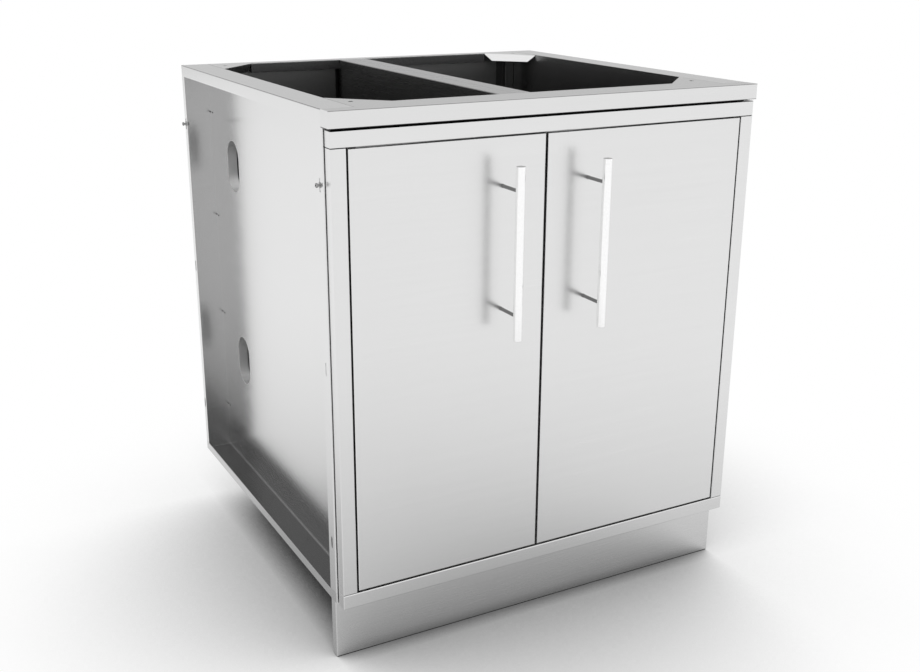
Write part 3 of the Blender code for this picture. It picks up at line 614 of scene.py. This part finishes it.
def turned_rings(profile, centre, axis, sides):
    """Rings about a line through centre, from (radius, place) or (radius, place, shape) rows.

    A shape takes the angle and the radius and gives the radius there, as for flats or flutes.
    """
    rings = []
    for radius, place, *shape in profile:
        ring = []
        for k in range(sides):
            angle = 2 * math.pi * k / sides
            reach = shape[0](angle, radius) if shape else radius
            c, s = reach * math.cos(angle), reach * math.sin(angle)
            offset = {"X": (place, c, s), "Y": (c, place, s), "Z": (c, s, place)}[axis]
            ring.append(Vector(centre) + Vector(offset))
        rings.append(ring)
    return rings


def stands_for(piece, node_name, body):
    """The piece rides on a body in place of a node."""
    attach(piece, body)
    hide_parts(node_name)


def rounded(radius, place, edge, way, steps=4):
    """Profile of a rounded rim: from the flat end at place to the side, going the given way."""
    points = []
    for k in range(steps + 1):
        angle = math.pi / 2 * k / steps
        points.append((radius - edge * (1 - math.sin(angle)),
                       place + way * edge * (1 - math.cos(angle))))
    return points


# The bars are painted darker at the back, where they face the door, and on their upper ends, as
# shade.
BAR_BACK = (0.35, 1.1)
bar_steel = plain_metal("bright_bar", tone=1.0, roughness=0.12, scale=400.0, zones=(
    (0.75, {"ny": BAR_BACK}), (0.30, {"nz": ALONG})))
# The posts are painted dark, as the shade between the bar and the door.
post_steel = plain_metal("post_steel", tone=0.20, roughness=0.25, scale=400.0)
fastener_steel = plain_metal("fastener_steel", tone=0.36, roughness=0.3, scale=900.0)
screws = screw_tree(fastener_steel)
for side in ("left", "right"):
    low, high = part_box(f"{side}_handle_bar")
    centre = (low + high) / 2
    radius = (high.x - low.x) / 2
    half = (high.z - low.z) / 2
    rim = rounded(radius, -half, BAR_EDGE, 1)
    profile = rim + [(r, -place) for r, place in reversed(rim)]
    bar = rings_object(f"{side}_bar_pull", [turned_rings(profile, centre, "Z", BAR_SIDES)],
                       bar_steel)
    stands_for(bar, f"{side}_handle_bar", f"{side}_door")
    screw_spots = []
    for place in ("upper", "lower"):
        low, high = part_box(f"{side}_handle_{place}_post")
        middle = (low + high) / 2
        post_radius = (high.z - low.z) / 2 * POST_SLIMNESS
        profile = [(post_radius, high.y), (post_radius, high.y - FOOT_RING),
                   (post_radius - FOOT_RING, high.y - 2 * FOOT_RING)]
        rings = turned_rings(profile, (middle.x, 0.0, middle.z), "Y", POST_SIDES)
        cope = [Vector((point.x, centre.y - FOOT_RING / 4
                        + math.sqrt(radius ** 2 - (point.x - middle.x) ** 2), point.z))
                for point in rings[-1]]
        rings.append(cope)
        rings.append([Vector((point.x, centre.y + radius / 2, point.z)) for point in cope])
        post = rings_object(f"{side}_{place}_bar_post", [rings], post_steel)
        stands_for(post, f"{side}_handle_{place}_post", f"{side}_door")
        screw_spots.append((middle.x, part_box(f"{side}_door_liner")[1].y, middle.z))
    fixings(f"{side}_handle_screws", screws, screw_spots, FACING_BACK,
            {"Head radius": HANDLE_SCREW_RADIUS, "Head height": HANDLE_SCREW_HEIGHT,
             "Recess": HANDLE_SCREW_RECESS}, f"{side}_door")


# PIVOTS. Plated steel pins stand in the top and the bottom edge of each door and turn in collared
# bushes of black nylon, pressed into the face frame's rails.
RIM_SOFTENING = 0.0002


def black_nylon(name, tone, roughness):
    """Moulded nylon with a fine spark-eroded skin."""
    surface, tree, shader = new_surface(name, 0.0)
    where = tree.nodes.new("ShaderNodeTexCoord")
    skin = unevenness(tree, where.outputs["Object"], scale=1800.0, detail=3.0, roughness=0.6)
    cloud = unevenness(tree, where.outputs["Object"], scale=35.0, detail=2.0, roughness=0.5)
    colour = shades(tree, cloud, span=(0.3, 0.7), tone=tone, play=(0.75, 1.3))
    link(tree, colour, shader.inputs["Base Color"])
    gloss(tree, shader, skin, roughness, play=0.08)
    relief(tree, shader, skin, strength=0.4, depth=0.00008)
    return surface


nylon = black_nylon("black_nylon", tone=(0.022, 0.022, 0.023), roughness=0.5)
for side in ("left", "right"):
    for place in ("upper", "lower"):
        soften(f"{side}_{place}_bush", nylon, RIM_SOFTENING)
        soften(f"{side}_{place}_pivot_pin", fastener_steel, RIM_SOFTENING)


# CATCHES. A magnetic catch in a black nylon case is screwed to each face of the partition. Its
# magnet pulls on a plated strike plate on the door's liner through two steel pole pieces.
POLE_THICKNESS = 0.0012
POLE_SHARE = 0.78
POLE_PROUD = 0.00012
POLE_FROM_SIDE = 0.0028
CATCH_SCREW_RADIUS = 0.0031
CATCH_SCREW_HEIGHT = 0.0013
CATCH_SCREW_RECESS = 0.0009
CATCH_SCREW_SHARE = 0.29


def small_plate(name, low, high, surface, body, edge):
    """Thin plate or strip with broken edges."""
    mesh = bmesh.new()
    bmesh.ops.create_cube(mesh, size=1.0)
    for vert in mesh.verts:
        vert.co = [low[k] + (vert.co[k] + 0.5) * (high[k] - low[k]) for k in range(3)]
    bmesh.ops.bevel(mesh, geom=mesh.edges[:], offset=edge, segments=2, affect="EDGES",
                    profile=0.5)
    piece = object_from(mesh, name, surface)
    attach(piece, body)


for side, sign, facing in (("left", -1, FACING_LEFT), ("right", 1, FACING_RIGHT)):
    soften(f"{side}_magnetic_catch", nylon, RIM_SOFTENING)
    soften(f"{side}_strike_plate", fastener_steel, RIM_SOFTENING)
    low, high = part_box(f"{side}_magnetic_catch")
    middle = (low + high) / 2
    tall = (high.z - low.z) * POLE_SHARE / 2
    for place, x in (("inner", low.x + POLE_FROM_SIDE), ("outer", high.x - POLE_FROM_SIDE)):
        small_plate(f"{side}_catch_{place}_pole",
                    (x - POLE_THICKNESS / 2, low.y - POLE_PROUD, middle.z - tall),
                    (x + POLE_THICKNESS / 2, middle.y, middle.z + tall), fastener_steel,
                    "cabinet", POLE_PROUD / 2)
    face = low.x if sign < 0 else high.x
    drop = (high.z - low.z) * CATCH_SCREW_SHARE
    fixings(f"{side}_catch_screws", screws,
            [(face, middle.y, middle.z + drop), (face, middle.y, middle.z - drop)], facing,
            {"Head radius": CATCH_SCREW_RADIUS, "Head height": CATCH_SCREW_HEIGHT,
             "Recess": CATCH_SCREW_RECESS}, "cabinet")


# SHADE STRIP. A black strip stands on the frame's top rail and closes the shadow gap under the
# fascia, so that no light comes through to the inside. It is a dark piece put in for the shade
# there.
STRIP_THICKNESS = 0.0030
STRIP_FROM_ENDS = 0.008
STRIP_FROM_BACK = 0.0012
STRIP_FIT = 0.0002
STRIP_EDGE = 0.0003
gap_shade = black_nylon("painted_shade_black", tone=(0.012, 0.012, 0.012), roughness=0.8)
rail_low, rail_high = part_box("face_top_rail")
strip_back = rail_high.y - STRIP_FROM_BACK
strip_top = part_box("top_front_rail")[1].z - SHEET - STRIP_FIT
small_plate("shade_strip",
            (rail_low.x + STRIP_FROM_ENDS, strip_back - STRIP_THICKNESS, rail_high.z + STRIP_FIT),
            (rail_high.x - STRIP_FROM_ENDS, strip_back, strip_top),
            gap_shade, "cabinet", STRIP_EDGE)


# JOINING BOLTS. Short zinc-plated bolts with a domed socket head and a washer outside the lip and
# a nut inside it, loose in the left side's upper slots until the next unit is drawn up to them.
BOLT_PROUD = 0.0068
BOLT_HEAD_RADIUS = 0.0034
BOLT_HEAD_LENGTH = 0.0026
BOLT_HEAD_ROUNDING = 0.0010
BOLT_SOCKET = 0.0014
BOLT_SOCKET_DEPTH = 0.0016
BOLT_WASHER_RADIUS = 0.0042
BOLT_WASHER = 0.0009
BOLT_SHANK_RADIUS = 0.0019
BOLT_PITCH = 0.0008
BOLT_THREAD = 0.0002
BOLT_NUT_FLAT = 0.0034
BOLT_NUT_CHAMFER = 0.0004
BOLT_SIDES = 48
RIDGE = (0.35, 0.5, 0.85)


def hexagon(angle, radius):
    """Radius of a ring with six flats, where the given radius reaches to a flat."""
    return radius / math.cos(angle % (math.pi / 3) - math.pi / 6)


def thread(radius, start, end, pitch, depth):
    """Profile of a threaded shank: ridges that rise, turn and end at given shares of a pitch."""
    rise, turn, foot = RIDGE
    rows = [(radius - depth, start)]
    for k in range(int((end - start) / pitch)):
        rows += [(radius, start + (k + rise) * pitch), (radius, start + (k + turn) * pitch),
                 (radius - depth, start + (k + foot) * pitch)]
    return rows + [(radius - depth, end)]


for place in ("front", "back"):
    low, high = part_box(f"{place}_joining_bolt")
    axis = Vector((0, (low.y + high.y) / 2, (low.z + high.z) / 2))
    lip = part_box("left_side_panel")[0].x
    tip = lip - BOLT_PROUD
    seat = tip + BOLT_HEAD_LENGTH
    head = [(BOLT_SOCKET, tip + BOLT_SOCKET_DEPTH, hexagon), (BOLT_SOCKET, tip, hexagon)]
    head += rounded(BOLT_HEAD_RADIUS, tip, BOLT_HEAD_ROUNDING, 1)
    head += [(BOLT_HEAD_RADIUS, seat), (BOLT_SHANK_RADIUS, seat)]
    nut = [(BOLT_SHANK_RADIUS, lip + SHEET), (BOLT_NUT_FLAT, lip + SHEET, hexagon),
           (BOLT_NUT_FLAT, high.x - BOLT_NUT_CHAMFER, hexagon),
           (BOLT_NUT_FLAT - BOLT_NUT_CHAMFER, high.x), (BOLT_SHANK_RADIUS, high.x)]
    washer = [(BOLT_SHANK_RADIUS, lip - BOLT_WASHER), (BOLT_WASHER_RADIUS, lip - BOLT_WASHER),
              (BOLT_WASHER_RADIUS, lip), (BOLT_SHANK_RADIUS, lip)]
    shank = thread(BOLT_SHANK_RADIUS, seat, high.x, BOLT_PITCH, BOLT_THREAD)
    bolt = rings_object(f"{place}_unit_bolt",
                        [turned_rings(profile, axis, "X", BOLT_SIDES)
                         for profile in (head, washer, shank, nut)], fastener_steel)
    stands_for(bolt, f"{place}_joining_bolt", "cabinet")


# LEGS. Black nylon sockets with stiffening ribs, fixed under the floor, and screw feet with a
# round pad, a fluted collar that is gripped to turn them and a coarse thread.
LEG_SIDES = 96
SOCKET_FLANGE = 0.003
SOCKET_EDGE = 0.0006
SOCKET_RADIUS = 0.018
SOCKET_WALL = 0.0058
SOCKET_PLAY = 0.0003
SOCKET_RIBS = 8
SOCKET_RIB_REACH = 0.0110
SOCKET_RIB_LENGTH = 0.070
RIB_STEEPNESS = 5.0
RIB_NARROWNESS = 3.4
RIB_KNEE_PLACE = 0.3
RIB_KNEE_REACH = 0.72
FOOT_HEIGHT = 0.008
FOOT_EDGE = 0.0022
FOOT_NECK_RADIUS = 0.010
FOOT_COLLAR_RADIUS = 0.017
FOOT_COLLAR = 0.010
FOOT_FLUTES = 16
FOOT_FLUTE_DEPTH = 0.0014
FOOT_STEM_IN_SOCKET = 0.080
STEM_PITCH = 0.0025
STEM_THREAD = 0.0009
STEM_THREADED = 0.040


def ribbed(extra):
    """Ring shape with narrow ribs that stand out from the barrel by extra."""
    return lambda angle, radius: radius + extra * max(
        0.0, min(1.0, RIB_STEEPNESS * math.cos(SOCKET_RIBS * angle) - RIB_NARROWNESS))


def fluted(angle, radius):
    """Ring shape with rounded grooves for the fingers."""
    return radius - FOOT_FLUTE_DEPTH * (0.5 + 0.5 * math.cos(FOOT_FLUTES * angle)) ** 2


for side in ("left", "right"):
    for place in ("front", "back"):
        low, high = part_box(f"{side}_{place}_leg_socket")
        axis = Vector(((low.x + high.x) / 2, (low.y + high.y) / 2, 0))
        flange = (high.x - low.x) / 2
        underside = high.z - SOCKET_FLANGE
        stem = SOCKET_RADIUS - SOCKET_WALL
        bore = stem + SOCKET_PLAY
        profile = [(flange, high.z)]
        profile += reversed(rounded(flange, underside, SOCKET_EDGE, 1))
        profile += [(SOCKET_RADIUS, underside, ribbed(SOCKET_RIB_REACH)),
                    (SOCKET_RADIUS, underside - RIB_KNEE_PLACE * SOCKET_RIB_LENGTH,
                     ribbed(RIB_KNEE_REACH * SOCKET_RIB_REACH)),
                    (SOCKET_RADIUS, underside - SOCKET_RIB_LENGTH, ribbed(0.0))]
        profile += reversed(rounded(SOCKET_RADIUS, low.z, SOCKET_EDGE, 1))
        profile += [(bore, low.z), (bore, underside)]
        socket = rings_object(f"{side}_{place}_ribbed_socket",
                              [turned_rings(profile, axis, "Z", LEG_SIDES)], nylon)
        stands_for(socket, f"{side}_{place}_leg_socket", "cabinet")
        low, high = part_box(f"{side}_{place}_levelling_foot")
        pad = (high.x - low.x) / 2
        collar_top = high.z - FOOT_STEM_IN_SOCKET
        collar_bottom = collar_top - FOOT_COLLAR
        threaded = collar_top + STEM_THREADED
        profile = rounded(pad, low.z, FOOT_EDGE, 1)
        profile += reversed(rounded(pad, FOOT_HEIGHT, FOOT_EDGE, -1))
        profile += [(FOOT_NECK_RADIUS + FOOT_EDGE, FOOT_HEIGHT),
                    (FOOT_NECK_RADIUS, FOOT_HEIGHT + FOOT_EDGE), (FOOT_NECK_RADIUS, collar_bottom),
                    (FOOT_COLLAR_RADIUS - SOCKET_EDGE, collar_bottom, fluted),
                    (FOOT_COLLAR_RADIUS, collar_bottom + SOCKET_EDGE, fluted),
                    (FOOT_COLLAR_RADIUS, collar_top - SOCKET_EDGE, fluted),
                    (FOOT_COLLAR_RADIUS - SOCKET_EDGE, collar_top, fluted)]
        profile += thread(stem, collar_top, threaded, STEM_PITCH, STEM_THREAD)
        profile += [(stem, threaded), (stem, high.z)]
        foot = rings_object(f"{side}_{place}_screw_foot",
                            [turned_rings(profile, axis, "Z", LEG_SIDES)], nylon)
        stands_for(foot, f"{side}_{place}_levelling_foot", f"{side}_{place}_foot")


# STAGE. A white studio floor that runs into a white background, with the cabinet's soft shadow
# painted into its white, and a soft surround, a little darker behind the cabinet, as the brushed
# metal shows it.
FLOOR_HALF = 9.0
FLOOR_DROP = 0.0005
FLOOR_TONE = 0.93
FLOOR_ROUGHNESS = 0.9
SHADOW_REACH = 1.4
SHADOW_SAMPLES = 24
PAINTED_SHADOW_TILT = (0.06, 0.12, 1.0)

# How much open sky is black and how much is white in the painted shadow, to the metal and to
# the eye.
SHADOW_TO_METAL = (0.21, 0.99)
SHADOW_TO_EYE = (0.23, 0.843)

floor_mesh = bpy.data.meshes.new("studio_floor")
floor_mesh.from_pydata([(x * FLOOR_HALF, y * FLOOR_HALF, -FLOOR_DROP)
                        for x, y in ((-1, -1), (1, -1), (1, 1), (-1, 1))], [], [(0, 1, 2, 3)])
floor = placed("studio_floor", floor_mesh)
floor_paint, tree, paint = new_surface("floor_paint", 0.0)
paint.inputs["Base Color"].default_value = (FLOOR_TONE, FLOOR_TONE, FLOOR_TONE, 1)
paint.inputs["Roughness"].default_value = FLOOR_ROUGHNESS
paint.inputs["Specular IOR Level"].default_value = 0.0
# The shadow is painted: an occlusion node, tilted as if the light came from above and a little
# from the right and the back, dims the floor's glowing white near the cabinet.
cover = node(tree, "ShaderNodeAmbientOcclusion", Distance=SHADOW_REACH)
cover.samples = SHADOW_SAMPLES
lean = tree.nodes.new("ShaderNodeCombineXYZ")
for socket, value in zip(lean.inputs, PAINTED_SHADOW_TILT):
    socket.default_value = value
link(tree, lean.outputs[0], cover.inputs["Normal"])
path = tree.nodes.new("ShaderNodeLightPath")
looks = []
for span in (SHADOW_TO_METAL, SHADOW_TO_EYE):
    depth = remap(tree, cover.outputs["AO"], span, (0.0, 1.0))
    white = node(tree, "ShaderNodeEmission", Color=(1, 1, 1, 1))
    link(tree, depth.outputs[0], white.inputs["Strength"])
    looks.append(white.outputs[0])
reflected = math_node(tree, "MAXIMUM", path.outputs["Is Glossy Ray"],
                      path.outputs["Is Transmission Ray"])
layer = paint.outputs[0]
for seen, look in ((reflected, looks[0]), (path.outputs["Is Camera Ray"], looks[1])):
    mix = tree.nodes.new("ShaderNodeMixShader")
    link(tree, seen, mix.inputs["Fac"])
    link(tree, layer, mix.inputs[1])
    link(tree, look, mix.inputs[2])
    layer = mix.outputs[0]
link(tree, layer, tree.nodes["Material Output"].inputs["Surface"])
floor_mesh.materials.append(floor_paint)

# The surround's strength falls from front to back. The eye sees it plain white.
FRONT_TO_BACK = (-0.2, 0.6)
SURROUND = (1.0, 0.66)
world = bpy.data.worlds.new("studio")
bpy.context.scene.world = world
world.use_nodes = True
tree = world.node_tree
tree.nodes.clear()
out = tree.nodes.new("ShaderNodeOutputWorld")
plain = node(tree, "ShaderNodeBackground", Color=(1, 1, 1, 1), Strength=1.0)
soft = node(tree, "ShaderNodeBackground", Color=(1, 1, 1, 1), Strength=1.0)
where = tree.nodes.new("ShaderNodeTexCoord")
behind = remap(tree, apart(tree, where.outputs["Generated"])["Y"], FRONT_TO_BACK, SURROUND)
link(tree, behind.outputs[0], soft.inputs["Strength"])
path = tree.nodes.new("ShaderNodeLightPath")
mix = tree.nodes.new("ShaderNodeMixShader")
link(tree, path.outputs["Is Camera Ray"], mix.inputs["Fac"])
link(tree, soft.outputs[0], mix.inputs[1])
link(tree, plain.outputs[0], mix.inputs[2])
link(tree, mix.outputs[0], out.inputs["Surface"])

bpy.context.scene.view_settings.view_transform = "Standard"

# The photograph's camera, solved from the cabinet's own edges: its place and its three axes.
CAMERA_PLACE = Vector((-0.9824, -1.81905, 1.0905))
CAMERA_RIGHT = Vector((0.878637, -0.477464, 0.005043))
CAMERA_UP = Vector((0.147198, 0.280894, 0.948383))
CAMERA_BACK = Vector((-0.454235, -0.832542, 0.317086))
CAMERA_LENS = 45.84
CAMERA_SENSOR = 36.0
CAMERA_SHIFT = (-0.00076, 0.0008)
CAMERA_FAR = 60.0
lens = bpy.data.cameras.new("photo_camera")
lens.lens = CAMERA_LENS
lens.sensor_width = CAMERA_SENSOR
lens.shift_x, lens.shift_y = CAMERA_SHIFT
lens.clip_end = CAMERA_FAR
camera = placed("photo_camera", lens)
turn = Matrix((CAMERA_RIGHT, CAMERA_UP, CAMERA_BACK)).transposed().to_4x4()
camera.matrix_world = Matrix.Translation(CAMERA_PLACE) @ turn
bpy.context.scene.camera = camera
